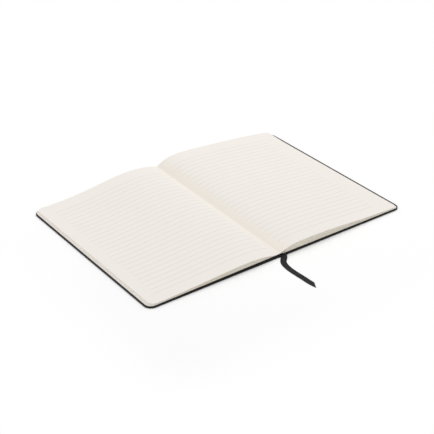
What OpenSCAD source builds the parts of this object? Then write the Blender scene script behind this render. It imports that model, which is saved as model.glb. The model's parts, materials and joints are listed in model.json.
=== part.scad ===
// A hardback notebook with a ribbon marker, lying open flat. The two covers hinge on the spine.
// The origin is under the middle of the spine, on the surface that the notebook lies on.
// X runs across the spread to the right, Y from the tail to the head of the pages, Z up.

/* [Pages] */
// Height of the leaves, from tail to head
page_h = 210; // [148:1:297]
// Reach of the leaves, from the middle of the spine to the fore edge
page_reach = 151; // [110:1:216]
// Radius of the rounded corners of the leaves
page_r = 7; // [2:0.5:12]
// Thickness of one leaf
leaf_t = 0.095; // [0.07:0.005:0.15]
// Number of leaves in each half of the open notebook
leaves = 20; // [12:1:60]
// How far the top leaf sits back from the bottom leaf at the fore edge
fore_slant = 2.4; // [0.5:0.1:4]
// How far the right leaves are drawn in from the fore edge towards the gutter
right_drawn_in = 1.2; // [0:0.1:3]

/* [Arch of the open pages] */
// Distance of the gutter from the middle of the spine, to the left
gutter_shift = 4; // [0:0.5:4]
// Distance from the gutter to the crest of the arch
crest_reach = 33; // [15:1:60]
// How steeply the left pages drop into the gutter, from gentle to steep
left_drop_curve = 2; // [1.5:0.1:5]
// How steeply the right pages drop into the gutter, from gentle to steep
right_drop_curve = 4; // [1.5:0.1:5]
// Rise of the left pages at the tail
left_rise_tail = 3.9; // [1:0.1:10]
// Rise of the left pages at the head
left_rise_head = 8.5; // [1:0.1:15]
// Rise of the right pages at the tail
right_rise_tail = 5; // [1:0.1:10]
// Rise of the right pages at the head
right_rise_head = 11.4; // [1:0.1:16]
// Rise of the right pages at the fore edge and the head
fore_rise_head = 0.8; // [0:0.1:3]
// How evenly the right pages sink to the fore edge at the head, from a half wave to an even fall
even_fall_head = 1; // [0:0.1:1]
// How much steeper the even fall gets towards the fore edge
fall_curve = 1.4; // [1:0.1:2]
// Rise of the gutter at the head, where the leaves lift off the spine
gutter_rise_head = 3; // [0:0.1:4]
// Bands of leaves that can be told apart at the edges of each half
leaf_bands = 6; // [3:1:8]
// Share of a band that is open between it and the next
band_gap = 0.22; // [0.1:0.02:0.4]
// Depth of the gap between two bands of leaves
band_depth = 0.6; // [0.3:0.1:1.5]

/* [Cover] */
// How far the cover reaches past the leaves
cover_over = 1; // [0.5:0.1:4]
// Thickness of the covering sheet
wrap_t = 0.4; // [0.3:0.05:0.6]
// Thickness of the cover boards
board_t = 1.3; // [1:0.1:3]
// Radius of the rounded edge of the covering sheet where it folds over the board
edge_r = 0.6; // [0.2:0.05:0.7]
// Width of the covering sheet's turned-in margin
turn_in = 13; // [9:1:20]
// Thickness of the endpapers
endpaper_t = 0.15; // [0.1:0.05:0.3]
// Distance from the cover's edge to the endpaper's edge
endpaper_inset = 2.5; // [1.5:0.5:5]

/* [Spine] */
// Thickness of the lining glued to the back of the pages
lining_t = 0.2; // [0.1:0.05:0.3]
// Room left between the layers of the spine and the cover boards when the notebook is closed
joint_room = 0.08; // [0.05:0.01:2]
// Room left between the two halves of the pages when the notebook is closed
closing_room = 0.3; // [0.2:0.1:1]
// Distance from each hinge line to the edge of the cover's sheet
hinge_slit = 0.3; // [0.3:0.05:0.5]
// Gap between the spine stiffener and each hinge line
stiffener_gap = 0.3; // [0.2:0.1:1]

/* [Ribbon marker] */
// Width of the ribbon
ribbon_w = 6; // [3:0.5:6]
// Thickness of the ribbon
ribbon_t = 0.3; // [0.2:0.05:0.3]
// Room for the ribbon between the spine lining and the pages, beyond its own thickness
ribbon_room = 0.05; // [0.02:0.01:0.2]
// How far the slanting cut makes one edge of the ribbon longer than the other
ribbon_cut = 7; // [0:0.5:8]

/* [Hidden] */

$fn = 96;
LEATHERETTE = "#232325";
BOARD = "#8f8a80";
ENDPAPER = "#e4ddd0";
LEAF = "#ece8e0";
GAUZE = "#d9d4c8";
RIBBON = "#2d2b2e";

stack_t = leaf_t * leaves;
cover_h = page_h + 2 * cover_over;
cover_reach = page_reach + cover_over;
cover_r = page_r + cover_over;
board_top = wrap_t + board_t;
page_z = board_top + endpaper_t;
hinge_z = wrap_t / 2;
hinge_x = page_z - hinge_z + stack_t + closing_room / 2;
lining_top = page_z - ribbon_room - ribbon_t;
stiffener_top = lining_top - lining_t;
joint_gap = page_z - hinge_z + joint_room;
board_x = hinge_x + joint_gap;
stiffener_x = hinge_x - stiffener_gap;
seam = 0.1;
overcut = 1;
stations = 22;
back_stations = 8;
station_curve = 1.35;

// A flat half outline, square at the spine side and round at its two outer corners
module half_outline(inner_x, outer_x, height, corner_r) {
    translate([inner_x, -height / 2]) square([outer_x - corner_r - inner_x, height]);
    translate([outer_x - corner_r, corner_r - height / 2]) square([corner_r, height - 2 * corner_r]);
    for (end = [-1, 1])
        translate([outer_x - corner_r, end * (height / 2 - corner_r)]) circle(corner_r);
}

// Section through the cover's outer edge, with both its corners rounded
module edge_section(reach, thickness, round_r) {
    square([reach - round_r, thickness]);
    translate([0, round_r]) square([reach, thickness - 2 * round_r]);
    for (z = [round_r, thickness - round_r]) translate([reach - round_r, z]) circle(round_r, $fn = 24);
}

// A flat slab, square at the spine side, with rounded outer edges and corners
module soft_slab(inner_x, outer_x, height, thickness, corner_r, round_r) {
    straight_x = outer_x - corner_r;
    straight_y = height / 2 - corner_r;
    translate([inner_x, -straight_y, 0]) cube([straight_x - inner_x, 2 * straight_y, thickness]);
    translate([straight_x, straight_y, 0]) rotate([90, 0, 0])
        linear_extrude(2 * straight_y) edge_section(corner_r, thickness, round_r);
    for (end = [0, 1]) mirror([0, end, 0]) {
        translate([inner_x, straight_y, 0]) rotate([90, 0, 90])
            linear_extrude(straight_x - inner_x) edge_section(corner_r, thickness, round_r);
        translate([straight_x, straight_y, 0])
            rotate_extrude(angle = 90) edge_section(corner_r, thickness, round_r);
    }
}

// The room that a cover board fills: full size below, and inside the turned-in margin above
module board_room(top) {
    translate([0, 0, wrap_t]) linear_extrude(board_t - wrap_t)
        half_outline(board_x, cover_reach - wrap_t, cover_h - 2 * wrap_t, cover_r - wrap_t);
    translate([board_x, turn_in - cover_h / 2, board_t - wrap_t])
        cube([cover_reach - turn_in - board_x, cover_h - 2 * turn_in, top - board_t + wrap_t]);
}

// One cover's covering sheet, folded round three edges of its board
module cover_sheet() {
    difference() {
        soft_slab(hinge_x + hinge_slit, cover_reach, cover_h, board_top, cover_r, edge_r);
        board_room(board_top + overcut);
        translate([hinge_x, -cover_h, wrap_t]) cube([joint_gap, 2 * cover_h, board_top + overcut]);
    }
}

module cover_board() {
    board_room(board_top);
}

module endpaper() {
    translate([0, 0, board_top]) linear_extrude(endpaper_t)
        half_outline(board_x, cover_reach - endpaper_inset, cover_h - 2 * endpaper_inset,
                     max(seam, cover_r - endpaper_inset));
}

// The arch of the top leaf. side is -1 for the left half and 1 for the right, x is measured
// outwards from the middle of the spine, and head is 0 at the tail and 1 at the head.
function share(from, to, at) = from + (to - from) * at;
function crest_rise(side, head) = side < 0 ? share(left_rise_tail, left_rise_head, head)
                                           : share(right_rise_tail, right_rise_head, head);
function fore_rise(side, head) = side < 0 ? 0 : fore_rise_head * head;
function even_fall(side, head) = side < 0 ? 0 : even_fall_head * head;

// From the crest to the fore edge the leaf sinks in a half wave or in an even fall
function sink(side, head, at) =
    share((1 + cos(180 * at)) / 2, 1 - pow(at, fall_curve), even_fall(side, head));

// From the crest to the gutter the leaf drops in a curve
function drop(side, at) = pow(1 - at, side < 0 ? left_drop_curve : right_drop_curve);

function rise(side, gutter_reach, fore_reach, head) =
    gutter_reach > crest_reach
    ? share(fore_rise(side, head), crest_rise(side, head),
            sink(side, head, min(1, (gutter_reach - crest_reach) / (fore_reach - crest_reach))))
    : share(crest_rise(side, head), gutter_rise_head * head, drop(side, gutter_reach / crest_reach));

// Reach of the bottom leaf of a half
function leaf_reach(side) = side < 0 ? page_reach : page_reach - right_drawn_in;

// Height of the top leaf over the cover
function pile(side, x, head) = stack_t + rise(side, x + side * gutter_shift,
    leaf_reach(side) - fore_slant + side * gutter_shift, head);

// A sheet between two shares of the pile's height, with its ends at y = -half_h and half_h
module sheet_between(side, xs, half_h, low, high) {
    last = len(xs) - 1;
    corners = [for (x = xs, y = [-half_h, half_h], part = [low, high])
        [x, y, page_z + part * pile(side, x, y / page_h + 0.5)]];
    walls = [for (i = [0 : last - 1], pair = [[0, 1], [1, 3], [3, 2], [2, 0]])
        let (a = 4 * i + pair[0], b = 4 * i + pair[1])
        each [[a, b, b + 4], [a, b + 4, a + 4]]];
    polyhedron(corners, concat(walls, [[0, 2, 3, 1]],
        [[4 * last, 4 * last + 1, 4 * last + 3, 4 * last + 2]]));
}

// Places along a half, closer together near the gutter
function reaches(inner_x, outer_x) =
    [for (i = [0 : stations]) share(inner_x, outer_x, pow(i / stations, station_curve))];

// The leaves of one half, drawn to the right: bands of leaves with narrow gaps between them,
// on a core that stands back by the depth of the gaps
module leaf_pile(side) {
    inner_x = board_x;
    top_x = leaf_reach(side) - fore_slant;
    band = 1 / leaf_bands;
    for (k = [0 : leaf_bands - 1]) {
        fore_x = leaf_reach(side) - fore_slant * k * band;
        intersection() {
            sheet_between(side, concat(reaches(inner_x, top_x - seam), [fore_x]), page_h / 2,
                          k * band, (k + 1 - (k < leaf_bands - 1 ? band_gap : 0)) * band);
            linear_extrude(page_h) half_outline(inner_x - overcut, fore_x, page_h, page_r);
        }
    }
    intersection() {
        sheet_between(side, reaches(inner_x, top_x - band_depth), page_h / 2 - band_depth,
                      band / 2, 1 - band / 2);
        linear_extrude(page_h) half_outline(inner_x - overcut, top_x - band_depth,
                                            page_h - 2 * band_depth, page_r - band_depth);
    }
}

module spine_cover() {
    color(LEATHERETTE) {
        translate([-hinge_x, -cover_h / 2, 0]) cube([2 * hinge_x, cover_h, wrap_t]);
        for (x = [-hinge_x, hinge_x])
            translate([x, cover_h / 2, hinge_z]) rotate([90, 0, 0]) cylinder(h = cover_h, d = wrap_t);
        for (end = [0, 1]) mirror([0, end, 0]) {
            translate([-stiffener_x, cover_h / 2 - wrap_t, 0])
                cube([2 * stiffener_x, wrap_t, stiffener_top]);
            translate([-stiffener_x, cover_h / 2 - turn_in, stiffener_top - wrap_t])
                cube([2 * stiffener_x, turn_in, wrap_t]);
        }
    }
}

module spine_board() {
    color(BOARD) {
        translate([-stiffener_x, wrap_t - cover_h / 2, wrap_t])
            cube([2 * stiffener_x, cover_h - 2 * wrap_t, stiffener_top - 2 * wrap_t]);
        translate([-stiffener_x, turn_in - cover_h / 2, wrap_t])
            cube([2 * stiffener_x, cover_h - 2 * turn_in, stiffener_top - wrap_t]);
    }
}

module spine_lining() {
    color(GAUZE) translate([-stiffener_x, -page_h / 2, stiffener_top])
        cube([2 * stiffener_x, page_h, lining_t]);
}

// The inner ends of all leaves, joined at the back of the page block under the gutter
module page_block_back() {
    color(LEAF) for (side = [-1, 1])
        mirror([side < 0 ? 1 : 0, 0, 0])
            sheet_between(side, [for (i = [0 : back_stations])
                share(-side * gutter_shift, board_x - seam, i / back_stations)],
                page_h / 2, 0, 1);
}

module front_cover() {
    color(LEATHERETTE) mirror([1, 0, 0]) cover_sheet();
}

module front_board() {
    color(BOARD) mirror([1, 0, 0]) cover_board();
}

module front_endpaper() {
    color(ENDPAPER) mirror([1, 0, 0]) endpaper();
}

module left_pages() {
    color(LEAF) mirror([1, 0, 0]) leaf_pile(-1);
}

module back_cover() {
    color(LEATHERETTE) cover_sheet();
}

module back_board() {
    color(BOARD) cover_board();
}

module back_endpaper() {
    color(ENDPAPER) endpaper();
}

module right_pages() {
    color(LEAF) leaf_pile(1);
}

// The ribbon's middle line, from its glued end at the head of the spine, along the spine,
// over the tail edge and down to its cut end on the surface beside the notebook
ribbon_route = [
    [0, 100, 1.67], [0, 80, 1.67], [0, 60, 1.67], [0, 40, 1.67], [0, 20, 1.67], [0, 0, 1.67],
    [0, -20, 1.67], [0, -40, 1.67], [0, -60, 1.67], [0, -80, 1.67], [-0.2, -95, 1.67],
    [-0.3, -105.1, 1.67], [-0.45, -106.6, 1.6], [-1.1, -108.1, 1.3], [-2.9, -110, 0.8],
    [-4.8, -111.9, 0.35], [-6.6, -114, 0.2], [-7.9, -116.4, 0.2], [-8.9, -119.3, 0.2],
    [-9.6, -122.8, 0.2], [-10.1, -127.5, 0.2], [-10.2, -132.5, 0.2], [-10, -137.5, 0.2],
    [-9.7, -143, 0.2], [-9.5, -148, 0.2], [-9.4, -153, 0.2], [-9, -158, 0.2], [-8.3, -161.8, 0.2]
];
function unit(v) = v / norm(v);
function heading(points, i) =
    unit(points[min(i + 1, len(points) - 1)] - points[max(i - 1, 0)]);

// A flat band swept along its route, with eight corners to a ring and a slanting cut at its end
module ribbon_marker() {
    half_w = ribbon_w / 2;
    half_t = ribbon_t / 2;
    soft = half_t / 2;
    ring = [[half_w, soft], [half_w - soft, half_t], [soft - half_w, half_t], [-half_w, soft],
            [-half_w, -soft], [soft - half_w, -half_t], [half_w - soft, -half_t], [half_w, -soft]];
    count = len(ring);
    last = len(ribbon_route) - 1;
    corners = [for (i = [0 : last], p = ring)
        let (ahead = heading(ribbon_route, i),
             aside = unit(cross(ahead, [0, 0, 1])),
             above = cross(aside, ahead),
             cut = i == last ? ribbon_cut * p[0] / ribbon_w : 0)
        ribbon_route[i] + aside * p[0] + above * p[1] + ahead * cut];
    walls = [for (i = [0 : last - 1], j = [0 : count - 1])
        let (a = i * count + j, b = i * count + (j + 1) % count)
        each [[a, b, b + count], [a, b + count, a + count]]];
    color(RIBBON) polyhedron(corners, concat(walls, [[for (j = [count - 1 : -1 : 0]) j]],
        [[for (j = [0 : count - 1]) last * count + j]]));
}

spine_cover();
spine_board();
spine_lining();
page_block_back();
ribbon_marker();
front_cover();
front_board();
front_endpaper();
left_pages();
back_cover();
back_board();
back_endpaper();
right_pages();
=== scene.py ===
import json
import math

import bmesh
import bpy
import numpy as np
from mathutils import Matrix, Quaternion, Vector


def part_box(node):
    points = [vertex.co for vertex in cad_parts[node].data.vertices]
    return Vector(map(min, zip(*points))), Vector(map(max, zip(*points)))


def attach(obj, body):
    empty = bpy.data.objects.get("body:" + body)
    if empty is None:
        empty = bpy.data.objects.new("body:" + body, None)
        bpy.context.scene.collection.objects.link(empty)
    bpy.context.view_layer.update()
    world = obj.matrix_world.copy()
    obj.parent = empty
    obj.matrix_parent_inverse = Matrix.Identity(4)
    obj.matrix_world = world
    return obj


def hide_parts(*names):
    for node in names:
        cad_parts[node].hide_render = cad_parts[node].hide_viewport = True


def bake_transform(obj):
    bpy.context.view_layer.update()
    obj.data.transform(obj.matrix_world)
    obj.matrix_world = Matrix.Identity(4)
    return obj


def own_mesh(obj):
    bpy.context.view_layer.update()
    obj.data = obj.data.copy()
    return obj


bl_info = {
    "name": "Open Ruled Notebook",
    "version": (1, 0, 0),
    "blender": (4, 5, 0),
    "location": "View3D > Sidebar > Notebook",
    "description": "Leaves, leatherette cover, ribbon marker and studio for an open hardback notebook",
    "category": "Object",
}

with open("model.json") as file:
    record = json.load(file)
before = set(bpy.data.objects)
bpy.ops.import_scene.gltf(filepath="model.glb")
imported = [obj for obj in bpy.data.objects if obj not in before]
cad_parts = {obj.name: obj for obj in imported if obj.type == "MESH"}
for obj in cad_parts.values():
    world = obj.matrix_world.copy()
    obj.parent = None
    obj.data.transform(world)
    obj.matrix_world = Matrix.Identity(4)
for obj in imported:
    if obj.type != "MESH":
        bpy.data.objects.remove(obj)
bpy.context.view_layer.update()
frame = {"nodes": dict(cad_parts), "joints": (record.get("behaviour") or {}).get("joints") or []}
MM = 0.001
LEFT, RIGHT = -1, 1
SIDE_NAMES = {LEFT: "left", RIGHT: "right"}
HALVES = {LEFT: "front_half", RIGHT: "back_half"}
HINGES = {LEFT: "front_cover_hinge", RIGHT: "back_cover_hinge"}
COVER_NODES = {LEFT: "front_cover", RIGHT: "back_cover"}

# Order of the leaves' materials
PLAIN, CUT_EDGE, RULED = 0, 1, 2

# How far the right leaves end short of their solid
RIGHT_DRAWN_IN = 0.8 * MM

# What the frame says about the notebook, in metres
PAGES_LOW, PAGES_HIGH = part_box("right_pages")
PAGE_REACH = {LEFT: -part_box("left_pages")[0].x, RIGHT: PAGES_HIGH.x - RIGHT_DRAWN_IN}
PAGE_INNER = PAGES_LOW.x
PAGE_HALF_H = PAGES_HIGH.y
PAGE_Z = PAGES_LOW.z
COVER_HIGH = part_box("back_cover")[1]
COVER_REACH = COVER_HIGH.x
COVER_HALF_H = COVER_HIGH.y
BOARD_TOP = COVER_HIGH.z
BOARD_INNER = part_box("back_board")[0].x
SPINE_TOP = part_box("spine_cover")[1].z
SPINE_HALF_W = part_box("spine_board")[1].x
HINGE_X = next(joint["pos_m"][0] for joint in frame["joints"] if joint["name"] == HINGES[RIGHT])

# Air between leaves that cling together, and under the open page
LEAF_CLING = 0.002 * MM
PAGE_CLEARANCE = 0.01 * MM

# How unevenly the leaves' edges lie
STACK_JITTER = 0.16 * MM
FAN_JITTER = 0.15 * MM

# Seeds of the draws for the fan and for the leaves' edges, and the first fanned leaf's number in the latter
FAN_SEED = 40
EDGE_SEED = 1000
FIRST_FAN_DRAW = 50

# How much leaves close up at the fore edge, and powers that keep an effect near one edge or corner
FORE_CLOSING = 0.85
FORE_EDGE_POWER = 6
HEAD_SPREAD_POWER = 8
TAIL_FLAT_POWER = 9
CORNER_RISE_POWER = 10

# Points in the leaves' grids, and the power that gathers their columns near the gutter
COLUMN_POWER = 1.35
CORNER_COLUMNS = 7
STACK_ROWS, FAN_ROWS, PAGE_ROWS = 7, 9, 31


def length(name, description, value_mm, low_mm, high_mm):
    """A size that the user can change, given here in millimetres."""
    return bpy.props.FloatProperty(
        name=name, description=description, default=value_mm * MM,
        min=low_mm * MM, max=high_mm * MM, unit="LENGTH", precision=5)


def lengths(name, description, *values_mm):
    """Sizes that belong together, given here in millimetres."""
    return bpy.props.FloatVectorProperty(
        name=name, description=description, default=tuple(value * MM for value in values_mm),
        size=len(values_mm), unit="LENGTH", precision=5)


def quantity(name, description, value, low, high):
    """A number of like things."""
    return bpy.props.IntProperty(name=name, description=description, default=value, min=low, max=high)


def factor(name, description, value, low, high):
    """A plain value that the user can change."""
    return bpy.props.FloatProperty(name=name, description=description, default=value, min=low, max=high)


def factors(name, description, left, right, low, high):
    """One plain value for each half."""
    return bpy.props.FloatVectorProperty(
        name=name, description=description, default=(left, right), size=2, min=low, max=high)


def angle(name, description, degrees):
    """An angle that the user can change, given here in degrees."""
    return bpy.props.FloatProperty(
        name=name, description=description, default=math.radians(degrees), subtype="ANGLE")


def colour(name, description, value):
    """A colour that the user can change, in linear light."""
    return bpy.props.FloatVectorProperty(
        name=name, description=description, default=value,
        size=3, min=0.0, max=1.0, subtype="COLOR")


class LeafSettings(bpy.types.PropertyGroup):
    """Sizes and colours of the leaves"""
    corners: lengths("Corner radii", "Radius of the rounded corners of the left and right leaves", 6.5, 4)
    flat_stack: length("Flat stack", "Thickness of the leaves that lie flat on the cover", 1.78, 1, 5)
    flat_layers: quantity("Flat layers", "Layers that show at the edges of the flat stack", 11, 3, 30)
    gutter_lifts: lengths(
        "Gutter lifts", "How far the lowest left and right leaves stand off the cover at the gutter",
        1.5, 0.75)
    fan_leaves: quantity(
        "Fanned leaves", "Leaves that arch up between the flat stack and the open page", 22, 4, 40)
    leaf: length("Leaf", "Thickness of one leaf", 0.095, 0.05, 0.3)
    fan_gap: factor(
        "Fan gap", "Share of the room between two leaves that is open at the gutter", 0.14, 0.05, 0.9)
    fore_slants: lengths(
        "Fore edge slants", "How far the left and right open pages sit back from the lowest leaves",
        2.4, 3.6)
    gutter_shift: length("Gutter shift", "Distance of the gutter from the middle, to the left", 4, 0, 4)
    crest_reach: length("Crest reach", "Distance from the gutter to the crest of the arch", 33, 15, 60)
    drop_curves: factors(
        "Drop curves", "How steeply the left and right pages drop into the gutter", 2.6, 3.2, 1.5, 5)
    valley: length("Valley", "How widely the bottom of the gutter is rounded", 1.2, 0, 3)
    tail_flat: length(
        "Tail flat", "Width of the left page that lies flat beside the gutter at the tail", 6, 0, 12)
    fall_curves: factors(
        "Fall curves", "How late the left and right pages fall towards the fore edge", 1.35, 1.4, 1, 2)
    left_rise: lengths("Left rise", "Rise of the left pages at the tail and at the head", 3.7, 9)
    right_rise: lengths("Right rise", "Rise of the right pages at the tail and at the head", 5, 11.7)
    fore_rise: length("Fore edge rise", "Rise of the right pages at the fore edge and the head", 0.8, 0, 3)
    corner_rise: length("Corner rise", "Further rise of the right pages at the head corner", 0.4, 0, 3)
    corner_spread: length(
        "Corner spread", "How far the right leaves reach out again at the head corner", 2, 0, 3)
    gutter_rise: length("Gutter rise", "Rise of the gutter at the head", 4, 0, 4)
    ripple: factor("Ripple", "Unevenness of the arch, as a share of its rise", 0.03, 0, 0.1)
    paper: colour("Paper", "Colour of the pages", (0.835, 0.797, 0.75))
    # Pages warmer towards the spine: painted warm bounce light in the gutter
    gutter_bounce_tint: colour("Paper in the gutter", "Colour of the pages at the spine", (0.848, 0.797, 0.724))
    # The cut edges are lighter than the page's paper: partly their own warm tone, partly painted light on
    # these side faces, which get less light. The fore edges are lighter still, also painted light.
    edge: colour("Leaf edges", "Colour of the cut edges", (0.93, 0.88, 0.77))
    fore_edge_painted_light: colour("Fore edges", "Colour of the cut edges at the fore edge", (0.97, 0.93, 0.86))
    ruling: colour("Ruling", "Colour of the ruled lines", (0.63, 0.605, 0.576))


class RulingSettings(bpy.types.PropertyGroup):
    """Places of the ruled lines"""
    pitch: length("Pitch", "Distance between two ruled lines", 6.86, 5, 10)
    line: length("Line", "Thickness of a ruled line", 0.42, 0.1, 0.6)
    count: quantity("Lines", "Ruled lines on a page", 27, 10, 40)
    first: length("First line", "Distance of the first line above the middle of the page", 87.6, 50, 100)
    left_start: length("Left page start", "Outer end of the left page's lines", 136, 50, 150)
    left_end: length("Left page end", "Inner end of the left page's lines", 8.5, 3, 40)
    right_start: length("Right page start", "Inner end of the right page's lines", 4.5, 3, 40)
    right_end: length("Right page end", "Outer end of the right page's lines", 128, 50, 150)


class CoverSettings(bpy.types.PropertyGroup):
    """Sizes and colours of the cover"""
    sheet: length("Sheet", "Thickness of the leatherette", 0.4, 0.2, 0.8)
    edge_radius: length("Edge radius", "Radius of the sheet where it folds over the board", 0.6, 0.2, 0.8)
    corner: length("Corner radius", "Radius of the cover's rounded corners", 8, 2, 14)
    turn_in: length("Turn-in", "Width of the margin that is folded over the board", 13, 9, 20)
    groove: length("Joint groove", "Depth of the groove between the spine and a board", 0.3, 0, 0.5)
    joint_end: length(
        "Joint strip end", "Where the joint strip meets the board's sheet, from the middle", 8, 7, 12)
    tint: colour("Leatherette", "Colour of the leatherette", (0.0105, 0.0103, 0.0101))
    worn: colour("Rubbed edges", "Colour of the leatherette on its rubbed edges", (0.014, 0.0135, 0.013))
    board: colour("Greyboard", "Colour of the boards", (0.27, 0.25, 0.22))
    endpaper: colour("Endpaper", "Colour of the endpapers", (0.78, 0.73, 0.64))
    gauze: colour("Gauze", "Colour of the threads on the back of the leaves", (0.70, 0.66, 0.58))
    # Between the gauze's threads: painted shade, a darker copy of the gauze colour
    gauze_gap_shade: colour("Glue", "Colour of the glue between the gauze's threads", (0.42, 0.39, 0.33))


class RibbonSettings(bpy.types.PropertyGroup):
    """Sizes and colours of the ribbon marker"""
    width: length("Width", "Width of the ribbon", 6, 3, 8)
    thickness: length("Thickness", "Thickness of the ribbon", 0.3, 0.1, 0.4)
    cut: length("Cut", "How far the slanting cut makes one edge longer", 7, 0, 8)
    tint: colour("Ribbon", "Colour of the ribbon", (0.011, 0.0102, 0.0113))


class StudioSettings(bpy.types.PropertyGroup):
    """Camera, lamps and floor"""
    azimuth: angle("Azimuth", "Direction that the camera looks along", -35.927)
    elevation: angle("Elevation", "Height of the camera above the floor, as an angle", 30.128)
    roll: angle("Roll", "Tilt of the camera about its own line of sight", -0.271)
    distance: length("Distance", "Distance from the camera to its target", 1151.8, 500, 3000)
    target: lengths("Target", "Point that the camera looks at", -7.363, -9.326, 0)
    lens: factor("Lens", "Focal length in millimetres on a 36 mm frame", 95.605, 20, 300)
    softbox_size: lengths("Softbox size", "Length and width of the overhead softbox", 2400, 2000)
    softbox_place: lengths("Softbox place", "Middle of the overhead softbox", 480, 600, 1860)
    key_power: factor("Key power", "Power of the overhead softbox in watts", 24.8, 0, 1000)
    fill_level: factor("Fill level", "Level of the light that comes from all round", 0.632, 0, 10)
    floor_size: length("Floor size", "Length of the floor's sides", 12000, 1000, 50000)


SETTINGS = {
    "notebook_leaves": LeafSettings,
    "notebook_ruling": RulingSettings,
    "notebook_cover": CoverSettings,
    "notebook_ribbon": RibbonSettings,
    "notebook_studio": StudioSettings,
}


# Shader nodes

def add_node(tree, kind, inputs=None, **options):
    """Adds a node with its options, and feeds its inputs with values or with other nodes' outputs."""
    made = tree.nodes.new(kind)
    for name, value in options.items():
        setattr(made, name, value)
    for key, value in (inputs or {}).items():
        if isinstance(value, bpy.types.NodeSocket):
            tree.links.new(value, made.inputs[key])
        else:
            made.inputs[key].default_value = value
    return made


def calc(tree, operation, *values):
    """The result of one Math node."""
    return add_node(tree, "ShaderNodeMath", dict(enumerate(values)), operation=operation).outputs[0]


def plus(tree, first, second):
    """The sum of two values."""
    return calc(tree, "ADD", first, second)


def minus(tree, first, second):
    """The difference of two values."""
    return calc(tree, "SUBTRACT", first, second)


def times(tree, first, second):
    """The product of two values."""
    return calc(tree, "MULTIPLY", first, second)


def weighed(tree, first, second, share):
    """Two values mixed, the second with the given share."""
    return plus(tree, times(tree, first, 1 - share), times(tree, second, share))


def vector_calc(tree, operation, *values, output="Vector"):
    """The result of one Vector Math node."""
    return add_node(
        tree, "ShaderNodeVectorMath", dict(enumerate(values)), operation=operation).outputs[output]


def axes(tree, vector):
    """A vector's X, Y and Z."""
    return add_node(tree, "ShaderNodeSeparateXYZ", {0: vector}).outputs


def ramp(tree, value, low, high, start=0.0, end=1.0):
    """A value mapped smoothly from low and high to start and end."""
    return add_node(
        tree, "ShaderNodeMapRange",
        {"Value": value, "From Min": low, "From Max": high, "To Min": start, "To Max": end},
        interpolation_type="SMOOTHSTEP").outputs["Result"]


def noise(tree, vector, scale, detail=2.0, roughness=0.5, output="Fac"):
    """A noise texture's value."""
    return add_node(
        tree, "ShaderNodeTexNoise",
        {"Vector": vector, "Scale": scale, "Detail": detail, "Roughness": roughness}).outputs[output]


def mix_colour(tree, share, first, second):
    """Two colours mixed by a share."""
    return add_node(
        tree, "ShaderNodeMix", {0: share, 6: first, 7: second}, data_type="RGBA").outputs[2]


def opaque(tint, shade=1.0):
    """A settings colour with full alpha, made lighter or darker."""
    return (*(shade * channel for channel in tint), 1.0)


def start_group(name, inputs, outputs):
    """A shader node group with its entry and its exit. It takes a Vector and the given inputs with their
    defaults. Its outputs are plain values, apart from one named Colour."""
    group = bpy.data.node_groups.new(name, "ShaderNodeTree")
    group.interface.new_socket("Vector", in_out="INPUT", socket_type="NodeSocketVector")
    for label, default in inputs.items():
        kind = "NodeSocketColor" if isinstance(default, tuple) else "NodeSocketFloat"
        group.interface.new_socket(label, in_out="INPUT", socket_type=kind).default_value = default
    for label in outputs:
        kind = "NodeSocketColor" if label == "Colour" else "NodeSocketFloat"
        group.interface.new_socket(label, in_out="OUTPUT", socket_type=kind)
    entry = group.nodes.new("NodeGroupInput").outputs
    leave = group.nodes.new("NodeGroupOutput").inputs
    return group, entry, leave


def put_out(group, leave, **results):
    """Feeds a group's outputs, and gives back the group."""
    for name, result in results.items():
        group.links.new(result, leave[name])
    return group


def paper_fibre_group():
    """Soft mottling and short fibres: a colour, and a height for bump."""
    group, entry, leave = start_group(
        "Paper Fibre", {"Colour": (0.8, 0.8, 0.8, 1), "Fleck": 0.04}, ["Colour", "Height"])
    cloud = noise(group, entry["Vector"], 60.0, detail=3.0)
    stretched = vector_calc(group, "MULTIPLY", entry["Vector"], (900.0, 2600.0, 1800.0))
    fibre = noise(group, stretched, 1.0, detail=4.0, roughness=0.65)
    grain = noise(group, entry["Vector"], 5200.0)
    mottle = weighed(group, cloud, fibre, share=0.4)
    shade = times(group, ramp(group, mottle, 0.3, 0.7), entry["Fleck"])
    darker = vector_calc(group, "MULTIPLY", entry["Colour"], (0.80, 0.78, 0.74))
    return put_out(group, leave, Colour=mix_colour(group, shade, entry["Colour"], darker),
                   Height=weighed(group, fibre, grain, share=0.4))


def page_ruling_group():
    """Evenly spaced lines across a page: a mask that is 1 on a line."""
    group, entry, leave = start_group(
        "Page Ruling", {
            "First": 0.0, "Pitch": 7 * MM, "Line": 0.3 * MM, "Count": 27.0, "Low X": 0.0, "High X": 100 * MM,
        }, ["Mask"])
    place = axes(group, entry["Vector"])
    steps = calc(group, "DIVIDE", minus(group, entry["First"], place["Y"]), entry["Pitch"])
    nearest = calc(group, "ROUND", steps)
    off_line = times(group, calc(group, "ABSOLUTE", minus(group, steps, nearest)), entry["Pitch"])
    on_line = ramp(group, off_line, times(group, entry["Line"], 0.7), times(group, entry["Line"], 0.3))
    inside = times(group, calc(group, "GREATER_THAN", nearest, -0.5),
                   calc(group, "LESS_THAN", nearest, minus(group, entry["Count"], 0.5)))
    across = times(group, calc(group, "GREATER_THAN", place["X"], entry["Low X"]),
                   calc(group, "LESS_THAN", place["X"], entry["High X"]))
    ink = ramp(group, noise(group, entry["Vector"], 2400.0, detail=3.0), 0.25, 0.6, start=0.85)
    return put_out(group, leave, Mask=times(group, times(group, inside, across), times(group, on_line, ink)))


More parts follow.
